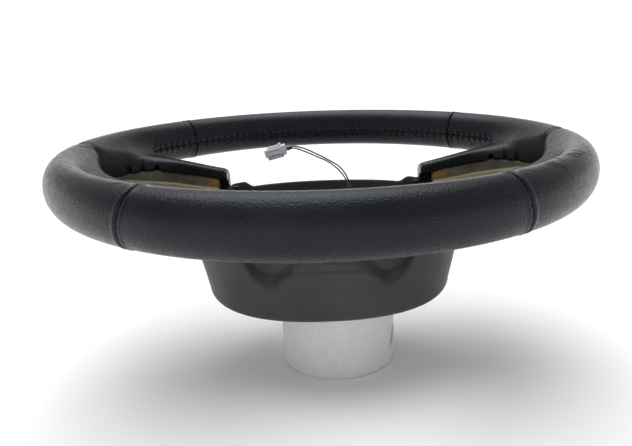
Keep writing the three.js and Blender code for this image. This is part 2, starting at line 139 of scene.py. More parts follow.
def make_floor():
    """A plain pale floor."""
    bm = bmesh.new()
    bmesh.ops.create_grid(bm, x_segments=1, y_segments=1, size=FLOOR_SIZE)
    data = bpy.data.meshes.new("floor")
    bm.to_mesh(data)
    bm.free()
    floor = bpy.data.objects.new("floor", data)
    bpy.context.scene.collection.objects.link(floor)
    paint = bpy.data.materials.new("floor_paint")
    paint.use_nodes = True
    shader = paint.node_tree.nodes["Principled BSDF"]
    shader.inputs["Base Color"].default_value = (0.97, 0.97, 0.97, 1)
    shader.inputs["Roughness"].default_value = 0.9
    shader.inputs["Specular IOR Level"].default_value = 0.1
    data.materials.append(paint)


make_camera()
make_surround()
make_sun()
make_floor()

# ------------------------------------------------------------------ small tools


def ease(t):
    """0 to 1, smoothly."""
    t = np.clip(t, 0, 1)
    return t * t * (3 - 2 * t)


def read(table, x, soft=6):
    """A reading of a table of (x, value) rows, with its corners rounded over soft millimetres."""
    rows = np.array(table, float)
    fine = np.arange(rows[0, 0] - 20, rows[-1, 0] + 21)
    values = np.interp(fine, rows[:, 0], rows[:, 1])
    if soft:
        weights = np.hanning(2 * soft + 3)[1:-1]
        padded = np.pad(values, soft, mode="edge")
        values = np.convolve(padded, weights / weights.sum(), "valid")
    return np.interp(x, fine, values)


def blend_min(a, b, soft):
    """The lower of two distances, rounded where they meet."""
    h = np.clip(0.5 + 0.5 * (b - a) / soft, 0, 1)
    return b * (1 - h) + a * h - soft * h * (1 - h)


def blend_max(a, b, soft):
    """The higher of two distances, rounded where they meet."""
    return -blend_min(-a, -b, soft)


def new_mesh(name, points, faces, material, smooth=True):
    """An object from points in millimetres."""
    data = bpy.data.meshes.new(name)
    data.from_pydata(np.asarray(points, float) * MM, [], faces)
    if material:
        data.materials.append(material)
    data.polygons.foreach_set("use_smooth", [smooth] * len(data.polygons))
    thing = bpy.data.objects.new(name, data)
    bpy.context.scene.collection.objects.link(thing)
    return thing


def put_on(thing, body):
    """Makes a finished piece ride on a body."""
    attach(thing, body)
    return thing


def mesh_of(name, points, faces, body, slot, material, smooth=True):
    """An object that rides on a body, from points in millimetres."""
    return put_on(new_mesh(name, points, faces, material, smooth), body)


def enclosed(points, faces):
    """Six times the volume inside faces of four corners."""
    a, b, c, d = (points[faces[:, i]] for i in range(4))
    return (a * np.cross(b, c)).sum() + (a * np.cross(c, d)).sum()


def skin(distance, low, high, step):
    """The closed surface where distance(x, y, z) is nought, as points and four-cornered faces.

    The points are drawn onto the surface in three passes, each of at most 0.6 of a step.
    """
    axes = [np.arange(a, b + step, step) for a, b in zip(low, high)]
    x, y, z = np.meshgrid(*axes, indexing="ij")
    field = distance(x, y, z).astype(np.float32)
    grid = openvdb.FloatGrid(float(field.max()) + 1)
    grid.copyFromArray(field)
    points, faces = grid.convertToQuads(0.0)
    points = points.astype(float) * step + np.array(low, float)
    faces = faces.astype(int)
    nudges = np.eye(3) * 0.05
    for _ in range(3):
        here = distance(*points.T)
        slope = np.stack([distance(*(points + nudge).T) - here for nudge in nudges], axis=1) / 0.05
        size = np.maximum((slope**2).sum(1), 0.2)
        move = np.clip(here / size, -0.6 * step, 0.6 * step)
        points = points - slope * move[:, None]
    if enclosed(points, faces) < 0:
        faces = faces[:, ::-1]
    return points, faces


def tube_mesh(route, radius, sides):
    """Points and faces of a round rod along a smooth route, closed at both ends."""
    route = np.asarray(route, float)
    ahead = np.gradient(route, axis=0)
    ahead /= np.linalg.norm(ahead, axis=1)[:, None]
    side = np.cross(ahead[0], (0.3, 0.2, 1.0))
    points = []
    for i, at in enumerate(route):
        side = side - ahead[i] * side.dot(ahead[i])
        side /= np.linalg.norm(side)
        up = np.cross(ahead[i], side)
        for j in range(sides):
            turn = 2 * math.pi * j / sides
            points.append(at + radius * (side * math.cos(turn) + up * math.sin(turn)))
    faces = []
    for i in range(len(route) - 1):
        for j in range(sides):
            k = (j + 1) % sides
            faces.append((i * sides + j, i * sides + k, (i + 1) * sides + k, (i + 1) * sides + j))
    last = (len(route) - 1) * sides
    faces.append(tuple(reversed(range(sides))))
    faces.append(tuple(range(last, last + sides)))
    return points, faces


def smooth_route(knots, count):
    """Points evenly spaced along a smooth curve through the knots, and the curve's length."""
    knots = np.asarray(knots, float)
    padded = np.vstack([2 * knots[0] - knots[1], knots, 2 * knots[-1] - knots[-2]])
    fine = []
    for i in range(1, len(padded) - 2):
        a, b, c, d = padded[i - 1 : i + 3]
        for t in np.linspace(0, 1, 24, endpoint=False):
            line = 2 * b + (c - a) * t
            bend = (2 * a - 5 * b + 4 * c - d) * t**2
            twist = (3 * b - a - 3 * c + d) * t**3
            fine.append(0.5 * (line + bend + twist))
    fine.append(knots[-1])
    fine = np.array(fine)
    gone = np.concatenate([[0], np.cumsum(np.linalg.norm(np.diff(fine, axis=0), axis=1))])
    at = np.linspace(0, gone[-1], count)
    return np.stack([np.interp(at, gone, fine[:, k]) for k in range(3)], axis=1), gone[-1]


# ------------------------------------------------------------------ materials


class Paint:
    """One material's nodes, with short calls for the ones that it needs."""

    def __init__(self, name, color, roughness, metallic=0.0):
        self.material = bpy.data.materials.new(name)
        self.material.use_nodes = True
        self.tree = self.material.node_tree
        self.shader = self.tree.nodes["Principled BSDF"]
        self.set("Base Color", (*color, 1))
        self.set("Roughness", roughness)
        self.set("Metallic", metallic)
        self.place = self.add("ShaderNodeTexCoord").outputs["Object"]

    def set(self, socket, value):
        """Gives the shader one value all over."""
        self.shader.inputs[socket].default_value = value

    def link(self, output, socket):
        self.tree.links.new(output, socket)

    def add(self, kind, **inputs):
        """A new node, with values or other nodes' outputs on its named inputs."""
        node = self.tree.nodes.new(kind)
        for name, value in inputs.items():
            socket = node.inputs[name.replace("_", " ")]
            if hasattr(value, "is_output"):
                self.link(value, socket)
            else:
                socket.default_value = value
        return node

    def stored(self, name, output="Vector"):
        """A value stored on the mesh's points."""
        node = self.tree.nodes.new("ShaderNodeAttribute")
        node.attribute_name = name
        return node.outputs[output]

    def ridge(self, value, sharpness):
        """1 along the lines where a noise passes its middle, falling off to each side."""
        off = self.math("ABSOLUTE", self.math("SUBTRACT", value, 0.5))
        return self.math("POWER", self.math("SUBTRACT", 1.0, off), sharpness * 4.0)

    def stretched(self, vector, scale):
        """A vector multiplied by a scale along each axis."""
        node = self.tree.nodes.new("ShaderNodeVectorMath")
        node.operation = "MULTIPLY"
        self.link(vector, node.inputs[0])
        node.inputs[1].default_value = scale
        return node.outputs[0]

    def noise(self, vector, scale, detail=3.0, roughness=0.5):
        return self.add(
            "ShaderNodeTexNoise", Vector=vector, Scale=scale, Detail=detail, Roughness=roughness
        ).outputs["Fac"]

    def cells(self, vector, scale):
        """Distance from the middle of the nearest of many uneven cells."""
        return self.add("ShaderNodeTexVoronoi", Vector=vector, Scale=scale).outputs["Distance"]

    def ramp(self, value, low, high, to_low=0.0, to_high=1.0):
        """A value spread from one range to another, and held at its ends."""
        node = self.tree.nodes.new("ShaderNodeMapRange")
        self.link(value, node.inputs["Value"])
        node.inputs["From Min"].default_value = low
        node.inputs["From Max"].default_value = high
        node.inputs["To Min"].default_value = to_low
        node.inputs["To Max"].default_value = to_high
        return node.outputs["Result"]

    def math(self, operation, a, b=None):
        node = self.tree.nodes.new("ShaderNodeMath")
        node.operation = operation
        for socket, value in zip(node.inputs, (a, b)):
            if hasattr(value, "is_output"):
                self.link(value, socket)
            elif value is not None:
                socket.default_value = value
        return node.outputs[0]

    def mix(self, share, a, b):
        """Two colours mixed by a share."""
        node = self.tree.nodes.new("ShaderNodeMix")
        node.data_type = "RGBA"
        self.link(share, node.inputs["Factor"])
        for socket, value in zip([s for s in node.inputs if s.type == "RGBA"], (a, b)):
            if hasattr(value, "is_output"):
                self.link(value, socket)
            else:
                socket.default_value = (*value, 1)
        return next(s for s in node.outputs if s.type == "RGBA")

    def color(self, output):
        self.link(output, self.shader.inputs["Base Color"])

    def roughness(self, output):
        self.link(output, self.shader.inputs["Roughness"])

    def bump(self, height, strength, distance, below=None):
        node = self.add("ShaderNodeBump", Height=height, Strength=strength, Distance=distance)
        if below is not None:
            self.link(below, node.inputs["Normal"])
        return node.outputs["Normal"]

    def normal(self, output):
        self.link(output, self.shader.inputs["Normal"])


def leather_paint():
    """Aged black leather: pebble grain, fine wrinkles, light specks that are partly dust and partly
    painted highlights, and old nicks.
    """
    paint = Paint("leather_paint", (0.008, 0.009, 0.012), 0.42)
    paint.set("Specular IOR Level", 0.23)
    paint.set("Specular Tint", (0.84, 0.92, 1.0, 1))
    along = paint.stored("straight")
    nick = paint.stored("nick", "Fac")
    patches = paint.ramp(paint.noise(paint.place, 22, 4), 0.35, 0.7)
    tone = paint.mix(patches, (0.006, 0.0066, 0.0088), (0.0125, 0.0133, 0.0162))
    wrinkles = paint.ridge(paint.noise(paint.stretched(along, (170, 620, 620)), 1, 5, 0.62), 12)
    across = paint.ridge(paint.noise(paint.stretched(along, (480, 110, 110)), 1, 4, 0.6), 14)
    line = paint.math("MAXIMUM", wrinkles, across)
    worn = paint.math("MULTIPLY", line, paint.ramp(paint.noise(paint.place, 30, 2), 0.36, 0.60))
    # Light grey specks in rare patches: partly dust, partly painted highlights that stand in for
    # glints on the grain.
    specks = paint.ramp(paint.cells(paint.place, 420), 0.16, 0.08)
    rare = paint.ramp(paint.noise(paint.place, 110, 1), 0.63, 0.66)
    dust_and_glints = paint.math("MULTIPLY", specks, rare)
    tone = paint.mix(paint.math("MULTIPLY", dust_and_glints, 0.35), tone, (0.22, 0.22, 0.21))
    tone = paint.mix(nick, tone, (0.001, 0.001, 0.001))
    paint.color(tone)
    rough = paint.ramp(paint.noise(paint.place, 260, 4), 0.3, 0.7, 0.19, 0.33)
    paint.roughness(paint.math("ADD", rough, paint.math("MULTIPLY", nick, 0.4)))
    normal = paint.bump(paint.cells(paint.place, 950), 0.6, 0.00024)
    normal = paint.bump(paint.noise(paint.place, 520, 3), 0.5, 0.00018, normal)
    normal = paint.bump(worn, -0.9, 0.0006, normal)
    normal = paint.bump(nick, -1.0, 0.0008, normal)
    paint.normal(normal)
    return paint.material


def foam_paint():
    """Old olive-grey foam, dirty, with orange glue towards the hub and a pale edge."""
    paint = Paint("foam_paint", (0.08, 0.07, 0.04), 0.75)
    broad = paint.noise(paint.place, 60, 5, 0.65)
    tone = paint.mix(paint.ramp(broad, 0.35, 0.68), (0.075, 0.072, 0.058), (0.19, 0.18, 0.135))
    dirt = paint.ramp(paint.noise(paint.place, 260, 4, 0.7), 0.52, 0.66)
    tone = paint.mix(paint.math("MULTIPLY", dirt, 0.6), tone, (0.20, 0.17, 0.10))
    facts = paint.add("ShaderNodeSeparateXYZ", Vector=paint.stored("foam")).outputs
    smears = paint.ramp(paint.noise(paint.place, 190, 4, 0.7), 0.44, 0.60)
    glue = paint.math("MULTIPLY", facts["X"], smears)
    tone = paint.mix(glue, tone, (0.46, 0.24, 0.055))
    tone = paint.mix(facts["Y"], tone, (0.50, 0.45, 0.25))
    paint.color(tone)
    lumps = paint.noise(paint.place, 420, 5, 0.7)
    paint.normal(paint.bump(lumps, 0.7, 0.0008))
    return paint.material


def plastic_paint(name, color, roughness, grain=1400):
    """Moulded plastic with a fine spark texture and faint rubbed patches."""
    paint = Paint(name, color, roughness)
    paint.set("Specular IOR Level", 0.35)
    rubbed = paint.noise(paint.place, 18, 4)
    lighter = tuple(min(1, c * 1.35 + 0.004) for c in color)
    paint.color(paint.mix(paint.ramp(rubbed, 0.4, 0.7), color, lighter))
    paint.roughness(
        paint.ramp(paint.noise(paint.place, 90, 3), 0.3, 0.7, roughness - 0.06, roughness + 0.06)
    )
    paint.normal(paint.bump(paint.noise(paint.place, grain, 2), 0.18, 0.0001))
    return paint.material


def metal_paint(name, color, roughness, pits):
    """Metal with a mottled skin; pits is the depth of its texture, in metres."""
    paint = Paint(name, color, roughness, 1.0)
    mottle = paint.noise(paint.place, 140, 4)
    darker = tuple(c * 0.6 for c in color)
    paint.color(paint.mix(paint.ramp(mottle, 0.35, 0.65), darker, color))
    paint.roughness(paint.ramp(mottle, 0.3, 0.7, roughness - 0.08, roughness + 0.12))
    paint.normal(paint.bump(paint.noise(paint.place, 900, 3), 0.4, pits))
    return paint.material


def paper_paint():
    """Grey-white recycled paper with darker fibres and soft blotches."""
    paint = Paint("paper_paint", (0.5, 0.5, 0.52), 0.85)
    paint.set("Specular IOR Level", 0.15)
    blotch = paint.ramp(paint.noise(paint.place, 150, 6, 0.7), 0.36, 0.66)
    tone = paint.mix(blotch, (0.80, 0.80, 0.82), (0.74, 0.74, 0.76))
    strands = paint.noise(paint.stretched(paint.place, (1100, 1100, 500)), 1, 3)
    fibres = paint.ramp(strands, 0.56, 0.7)
    tone = paint.mix(paint.math("MULTIPLY", fibres, 0.22), tone, (0.36, 0.35, 0.36))
    card = paint.mix(fibres, (0.58, 0.42, 0.25), (0.74, 0.58, 0.38))
    paint.color(paint.mix(paint.stored("torn", "Fac"), tone, card))
    paint.normal(paint.bump(paint.noise(paint.place, 700, 4, 0.7), 0.35, 0.0002))
    return paint.material


def card_paint():
    """Brown card with torn fibres."""
    paint = Paint("card_paint", (0.62, 0.42, 0.20), 0.9)
    paint.set("Specular IOR Level", 0.1)
    fibres = paint.noise(paint.stretched(paint.place, (500, 500, 140)), 1, 4, 0.7)
    paint.color(paint.mix(paint.ramp(fibres, 0.35, 0.65), (0.48, 0.34, 0.19), (0.72, 0.56, 0.36)))
    paint.normal(paint.bump(fibres, 0.8, 0.0006))
    return paint.material


LEATHER = leather_paint()
THREAD = plastic_paint("thread_paint", (0.02, 0.02, 0.022), 0.55)
FOAM = foam_paint()
COVER_PLASTIC = plastic_paint("cover_paint", (0.028, 0.029, 0.032), 0.50)
DARK_PLASTIC = plastic_paint("dark_plastic_paint", (0.012, 0.012, 0.014), 0.42)
GREY_PLASTIC = plastic_paint("connector_paint", (0.56, 0.57, 0.62), 0.38, 900)
CAST_METAL = metal_paint("casting_paint", (0.04, 0.04, 0.042), 0.6, 0.0004)
BRIGHT_STEEL = metal_paint("steel_paint", (0.55, 0.55, 0.54), 0.32, 0.0001)
SEAL = plastic_paint("seal_paint", (0.55, 0.20, 0.07), 0.6)
BROWN_WIRE = plastic_paint("brown_wire_paint", (0.22, 0.075, 0.03), 0.4)
GREY_WIRE = plastic_paint("grey_wire_paint", (0.06, 0.06, 0.065), 0.4)
PAPER = paper_paint()
CARD = card_paint()

# ------------------------------------------------------------------ the lead

WIRE_R = 0.6
# Each wire's route from the terminal block to the connector, with heights from the rim's
# centreline.
BROWN_ROUTE = [
    (34.6, -2.65, -49.2),
    (33.8, 3, -49.2),
    (30.5, 12, -49),
    (25.5, 20.5, -47),
    (20.6, 26.5, -41),
    (18.1, 28.8, -32),
    (15.8, 29, -23.4),
    (9.6, 29, -14.6),
    (1.6, 29, -8),
    (-7.5, 29, -3.4),
    (-16.5, 29, 0.8),
    (-23.5, 29.2, 3.4),
    (-27, 29.2, 3.3),
    (-30.4, 29.2, 2.4),
]
GREY_ROUTE = [
    (37.4, -2.65, -49.2),
    (36.6, 3.4, -49.2),
    (33, 13.2, -48.8),
    (27.8, 22.4, -46.6),
    (22.4, 28.8, -40),
    (19.5, 31, -31.6),
    (16.8, 31.2, -22),
    (10.8, 31.2, -13),
    (2, 31.2, -7),
    (-7, 31.2, -2),
    (-16.5, 31.1, 2.6),
    (-23.5, 31, 4.6),
    (-27, 31, 4.5),
    (-30.4, 31, 3.6),
]


def make_wire(name, route, material, node, slot):
    """One wire of the lead, which ends in the connector."""
    knots = np.array(route) + (0, 0, RIM_Z)
    path, length = smooth_route(knots, 120)
    points, faces = tube_mesh(path, WIRE_R, 12)
    wire = mesh_of(name, points, faces, "wheel", slot, material)
    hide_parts(node)


# ------------------------------------------------------------------ rim and spokes

# Each row is (distance from the axis, value), with heights from the rim's centreline.
SPOKE_TOP = [(70, -16.6), (92, -11.6), (116, -5.8), (139, -1), (156, 2.5), (172, 6)]
SPOKE_UNDER = [(70, -37), (104, -34), (130, -30), (156, -24), (172, -11)]
SPOKE_HALF_WIDTH = [(70, 61), (104, 60), (120, 61), (134, 64), (146, 70), (156, 79), (172, 92)]
TROUGH_HALF_WIDTH = [(60, 38), (120, 38), (138, 34), (148, 27), (155, 18), (160, 6), (162, -6)]
TROUGH_FLOOR = [(60, -33), (86, -30.2), (100, -28.2), (146, -20.3), (154, -17), (170, -14)]
HIDE_EDGE = [(60, -27), (82, -22.6), (96, -18.8), (117, -15.3), (129.5, -13.4), (131, -12.6),
             (133.6, -6.5), (136.2, -11.4), (151, -11.4), (170, -11.4)]
FOAM_EDGE = [(60, -27), (82, -22.9), (96, -19.1), (117, -15.6), (135, -12), (170, -11.7)]
SLITS = (143.5, 151.5)  # cuts in the hide where it turns the corner at the rim
PLEAT_PITCH = 6.5
LACED_R = RIM_R - GRIP[0]  # radius of the laced seam inside the rim
SPOKE_BLEND = 15  # how softly a spoke runs into the rim
HIDE_ENDS = (77, 80)  # where the right and the left spoke's hide end, towards the hub


def rim_distance(x, y, z):
    """Distance from the surface of the rim's grip."""
    q = np.hypot(x, y) - RIM_R
    h = z - RIM_Z
    a, b = GRIP
    near = np.hypot(q / a, h / b)
    slope = np.hypot(q / a**2, h / b**2)
    return near * (near - 1) / np.maximum(slope, 1e-6)


def pad_distance(x, y, z):
    """Distance from the padded spoke on the right, without its trough."""
    h = z - RIM_Z
    width = np.abs(y) - read(SPOKE_HALF_WIDTH, x)
    top = read(SPOKE_TOP, x) - 0.12 * np.maximum(np.abs(y) - 38, 0)
    height = np.maximum(h - top, read(SPOKE_UNDER, x) - h)
    edge = 5.5
    over = np.hypot(np.maximum(width + edge, 0), np.maximum(height + edge, 0))
    body = over + np.minimum(np.maximum(width + edge, height + edge), 0) - edge
    return blend_max(body, np.hypot(x, y) - RIM_R + 9, 12)


def pleats(x, y, z):
    """How far the laced seam on the inside of the rim draws the leather in."""
    q = np.hypot(x, y) - RIM_R
    h = z - RIM_Z
    s = (np.arctan2(h / GRIP[1], -q / GRIP[0]) + 0.12) * 15.5
    u = np.arctan2(y, x) * LACED_R
    pull = np.abs(((u - 0.45 * s) / PLEAT_PITCH) % 1 - 0.5) * PLEAT_PITCH
    tuck = np.abs(((u - 0.6 * s) / PLEAT_PITCH + 0.5) % 1 - 0.5) * PLEAT_PITCH
    drawn = 1.9 * np.exp(-((pull / 1.2) ** 2)) * np.exp(-(((s - 1.2) / 3.2) ** 2)) * (s > 0)
    drawn += 1.3 * np.exp(-((tuck / 1.1) ** 2)) * np.exp(-((s / 3.0) ** 2)) * (s <= 0)
    puffed = 1.1 * np.exp(-(((s - 2.6) / 1.7) ** 2))
    groove = 1.3 * np.exp(-((s / 0.9) ** 2))
    return drawn + groove - puffed


def away_from(angle, x, y):
    """Distance round from the seam at an angle, positive anticlockwise."""
    t = math.radians(angle)
    return y * math.cos(t) - x * math.sin(t)


def panel(body, x, y, z, seams, lean):
    """A body cut to one panel, with its edges rolled in at both seams.

    seams are the angles where it starts and ends, and lean how far each edge moves into the panel
    for each step down.
    """
    for angle, side, slant in zip(seams, (1, -1), lean):
        inside = side * away_from(angle, x, y) + slant * (z - RIM_Z)
        ridge = 0.4 * np.exp(-(((inside - 2.2) / 1.0) ** 2))
        body = blend_max(body - ridge, SEAM_GAP - inside, 1.3)
    return body


def plain_panel(seams, lean):
    """The distance function of a panel of the rim that carries no spoke."""
    return lambda x, y, z: panel(rim_distance(x, y, z) + pleats(x, y, z), x, y, z, seams, lean)


def spoke_body(x, y, z):
    """The rim and the spoke on the right, blended into each other."""
    spoke = pad_distance(x, y, z)
    clear = ease((spoke - 2) / 10)
    rim = rim_distance(x, y, z) + pleats(x, y, z) * clear
    return blend_min(rim, spoke, SPOKE_BLEND)


def side_panel(seams, end):
    """The distance function of the right panel and its spoke's hide, which ends at x = end."""

    def distance(x, y, z):
        h = z - RIM_Z
        body = panel(spoke_body(x, y, z), x, y, z, seams, (SEAM_LEAN, 0))
        body = blend_max(body, end - x, 5)
        half = read(TROUGH_HALF_WIDTH, x)
        edge = read(HIDE_EDGE, x, 0)
        floor = read(TROUGH_FLOOR, x)
        lean = 0.12 * np.clip(h - edge, 0, 12)
        rounding = 3 + 9 * ease((x - 112) / 34)
        wall = np.abs(y) - half
        upper = np.maximum(wall - lean, edge - h)
        lower = np.maximum(np.maximum(wall - 8, h - edge), floor - 3.5 - h)
        body = blend_max(body, -upper, rounding)
        for at in SLITS:
            width = 1.0 * np.clip(1.15 - (h - edge) / 8, 0, 1)
            slit = np.maximum(np.abs(x - at) - width, np.maximum(wall - 3, edge - 1 - h))
            body = blend_max(body, -slit, 1.6)
        return blend_max(body, -lower, 0.8)

    return distance


def spoke_foam(x, y, z):
    """The foam that shows in the trough of the spoke on the right."""
    h = z - RIM_Z
    half = read(TROUGH_HALF_WIDTH, x) + 1.3
    floor = read(TROUGH_FLOOR, x)
    edge = read(FOAM_EDGE, x, 0)
    wall = np.abs(y) - half
    cavity = np.maximum(wall, floor - h)
    lip = np.hypot(wall + 0.9, h - floor - 0.3) - 1.1
    body = blend_min(rim_distance(x, y, z), pad_distance(x, y, z), SPOKE_BLEND) + 1.0
    body = np.maximum(body, wall - 6.4)
    body = np.maximum(np.maximum(body, h - edge), floor - 3.2 - h)
    body = blend_max(body, -cavity, 2.0)
    body = np.minimum(body, np.maximum(lip, x - 158))
    return blend_max(body, 86.5 - x, 2.0)


# Old nicks in the leather, each from one point to another.
NICKS = [
    [(-171.9, -14.4, 175.3), (-168.7, -9.2, 173.7)],
    [(-168.7, -9.2, 173.7), (-165.2, -1.9, 170.0)],
    [(-106.9, -143.1, 175.0), (-102.4, -143.3, 175.6)],
    [(117.5, -131.6, 175.5), (121.2, -133.5, 174.2)],
    [(120.3, -127.7, 175.6), (123.2, -131.0, 174.4)],
    [(123.2, -131.0, 174.4), (127.6, -130.7, 172.5)],
    [(127.4, -118.3, 175.6), (127.7, -119.9, 175.6)],
    [(136.1, -109.1, 175.6), (143.6, -108.9, 174.2)],
    [(139.4, -105.2, 175.6), (147.8, -102.2, 174.5)],
    [(145.8, -96.1, 175.6), (152.1, -97.7, 173.9)],
]


def nicked(points):
    """How much of each point lies in a nick, from 0 to 1."""
    nearest = np.full(len(points), 9.0)
    for start, end in np.array(NICKS):
        along = end - start
        t = np.clip((points - start) @ along / (along @ along), 0, 1)
        gap = points - start - t[:, None] * along
        gap += 0.25 * np.sin(t * 17 + start[0])[:, None]
        nearest = np.minimum(nearest, np.linalg.norm(gap, axis=1))
    return ease((1.8 - nearest) / 1.3)


def mirror_x(points, faces):
    """The same surface on the other side of the wheel."""
    return points * (-1, 1, 1), faces[:, ::-1]


def store_vector(thing, name, values):
    """Stores one vector for each point."""
    attribute = thing.data.attributes.new(name, "FLOAT_VECTOR", "POINT")
    attribute.data.foreach_set("vector", np.asarray(values, np.float32).ravel())


def store_number(thing, name, values):
    """Stores one number for each point."""
    attribute = thing.data.attributes.new(name, "FLOAT", "POINT")
    attribute.data.foreach_set("value", np.asarray(values, np.float32))


def store_straight(thing, points, middle):
    """Stores each point's place on the rim as if it were laid out straight, in metres."""
    angle = np.arctan2(points[:, 1], points[:, 0]) - math.radians(middle)
    angle = (angle + math.pi) % (2 * math.pi) - math.pi
    radial = np.hypot(points[:, 0], points[:, 1]) - RIM_R
    store_vector(
        thing,
        "straight",
        np.stack([angle * RIM_R, radial, points[:, 2] - RIM_Z], axis=1) * MM,
    )


def make_leather():
    """The four panels of leather."""
    low_z, high_z = RIM_Z - 20, RIM_Z + 20
    made = []
    top = skin(plain_panel(TOP_SEAMS, (0, 0)), (-140, 108, low_z), (140, 191, high_z), SKIN_STEP)
    made.append(("leather_top", *top, 90))
    opened = plain_panel(BOTTOM_SEAMS, (-SEAM_LEAN, -SEAM_LEAN))
    bottom = skin(opened, (-110, -191, low_z), (110, -132, high_z), SKIN_STEP)
    made.append(("leather_bottom", *bottom, 270))
    right_seams = (BOTTOM_SEAMS[1] - 360, TOP_SEAMS[0])
    left_seams = (180 - BOTTOM_SEAMS[0], 180 - TOP_SEAMS[1])
    corners = ((68, -166, RIM_Z - 42), (191, 138, high_z))
    right = skin(side_panel(right_seams, HIDE_ENDS[0]), *corners, SKIN_STEP)
    made.append(("leather_right", *right, 0))
    left = skin(side_panel(left_seams, HIDE_ENDS[1]), *corners, SKIN_STEP)
    made.append(("leather_left", *mirror_x(*left), 180))
    for node, points, faces, middle in made:
        cover = mesh_of(node + "_hide", points, faces.tolist(), "wheel", "leather", LEATHER)
        store_straight(cover, points, middle)
        store_number(cover, "nick", nicked(points))
        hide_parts(node)


def make_foam():
    """The foam in both troughs. The foam under the leather isn't seen."""
    points, faces = skin(spoke_foam, (80, -52, RIM_Z - 40), (178, 52, RIM_Z + 4), 0.8)
    for side, surface in (("right", (points, faces)), ("left", mirror_x(points, faces))):
        at, corners = surface
        pad = mesh_of(side + "_spoke_foam", at, corners.tolist(), "wheel", "foam", FOAM)
        x, y, h = np.abs(at[:, 0]), np.abs(at[:, 1]), at[:, 2] - RIM_Z
        glue = np.clip((104 - x) / 14, 0, 1)
        foot = np.hypot(y - read(TROUGH_HALF_WIDTH, x) - 0.4, h - read(TROUGH_FLOOR, x) - 0.6)
        lip = np.clip(1.6 - foot, 0, 1)
        store_vector(pad, "foam", np.stack([glue, lip, 0 * lip], axis=1))
        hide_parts(*[f"foam_{side}_{end}" for end in ("rim", "pad_upper", "pad_lower")])
        if side == "right":
            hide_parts("foam_top", "foam_bottom")


# ------------------------------------------------------------------ lacing


STITCH_LENGTH = 4.6
THREAD_R = 0.42


def keep_result(thing):
    """Makes a piece's modifiers part of its mesh, and removes them."""
    now = thing.evaluated_get(bpy.context.evaluated_depsgraph_get())
    data = bpy.data.meshes.new_from_object(now)
    thing.modifiers.clear()
    thing.data = data


def stitching(thread_paint):
    """Geometry nodes that lay one slanted stitch at each point of a mesh."""
    tree = bpy.data.node_groups.new("stitching", "GeometryNodeTree")
    socket = tree.interface.new_socket
    socket("Geometry", in_out="INPUT", socket_type="NodeSocketGeometry")
    length = socket("Stitch length", in_out="INPUT", socket_type="NodeSocketFloat")
    thick = socket("Thread radius", in_out="INPUT", socket_type="NodeSocketFloat")
    socket("Geometry", in_out="OUTPUT", socket_type="NodeSocketGeometry")
    add = tree.nodes.new
    link = tree.links.new
    given = add("NodeGroupInput")
    ball = add("GeometryNodeMeshUVSphere")
    ball.inputs["Segments"].default_value = 8
    ball.inputs["Rings"].default_value = 6
    ball.inputs["Radius"].default_value = 1.0
    size = add("ShaderNodeCombineXYZ")
    half = add("ShaderNodeMath")
    half.operation = "MULTIPLY"
    half.inputs[1].default_value = 0.5
    link(given.outputs["Stitch length"], half.inputs[0])
    link(given.outputs["Thread radius"], size.inputs["X"])
    link(given.outputs["Thread radius"], size.inputs["Y"])
    link(half.outputs[0], size.inputs["Z"])
    stretch = add("GeometryNodeTransform")
    link(ball.outputs["Mesh"], stretch.inputs["Geometry"])
    link(size.outputs[0], stretch.inputs["Scale"])
    aim = add("GeometryNodeInputNamedAttribute")
    aim.data_type = "FLOAT_VECTOR"
    aim.inputs["Name"].default_value = "aim"
    turn = add("FunctionNodeAlignRotationToVector")
    turn.axis = "Z"
    link(aim.outputs["Attribute"], turn.inputs["Vector"])
    lay = add("GeometryNodeInstanceOnPoints")
    link(given.outputs["Geometry"], lay.inputs["Points"])
    link(stretch.outputs["Geometry"], lay.inputs["Instance"])
    link(turn.outputs["Rotation"], lay.inputs["Rotation"])
    real = add("GeometryNodeRealizeInstances")
    link(lay.outputs["Instances"], real.inputs["Geometry"])
    smooth = add("GeometryNodeSetShadeSmooth")
    link(real.outputs["Geometry"], smooth.inputs["Geometry"])
    dye = add("GeometryNodeSetMaterial")
    dye.inputs["Material"].default_value = thread_paint
    link(smooth.outputs["Geometry"], dye.inputs["Geometry"])
    taken = add("NodeGroupOutput")
    link(dye.outputs["Geometry"], taken.inputs[0])
    return tree, length.identifier, thick.identifier


def make_lacing():
    """A stitch over the seam at every pleat, on the inside of the rim."""
    tree, length, thick = stitching(THREAD)
    reach = 53  # degrees from 12 and 6 o'clock where the spokes begin
    runs = {
        "lacing_top": (TOP_SEAMS[0] + 1, TOP_SEAMS[1] - 1),
        "lacing_bottom": (BOTTOM_SEAMS[0] + 1, BOTTOM_SEAMS[1] - 1),
        "lacing_right_upper": (90 - reach, TOP_SEAMS[0] - 1),
        "lacing_left_upper": (TOP_SEAMS[1] + 1, 90 + reach),
        "lacing_right_lower": (BOTTOM_SEAMS[1] + 1, 270 + reach),
        "lacing_left_lower": (270 - reach, BOTTOM_SEAMS[0] - 1),
    }
    step = PLEAT_PITCH / LACED_R
    for name, (start, end) in runs.items():
        count = int(math.radians(end - start) / step)
        first = math.ceil(math.radians(start) / step)
        angles = (first + np.arange(count)) * step
        out = np.stack([np.cos(angles), np.sin(angles), 0 * angles], axis=1)
        along = np.stack([-out[:, 1], out[:, 0], 0 * angles], axis=1)
        at = out * (LACED_R + 0.75) + (0, 0, RIM_Z - 1.9)
        thread = new_mesh(name + "_thread", at, [], THREAD)
        store_vector(thread, "aim", along * 0.35 + (0, 0, 1))
        nodes = thread.modifiers.new("stitches", "NODES")
        nodes.node_group = tree
        nodes[length] = STITCH_LENGTH * MM
        nodes[thick] = THREAD_R * MM
        keep_result(thread)
        put_on(thread, "wheel")
        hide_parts(name)


# ------------------------------------------------------------------ rear cover

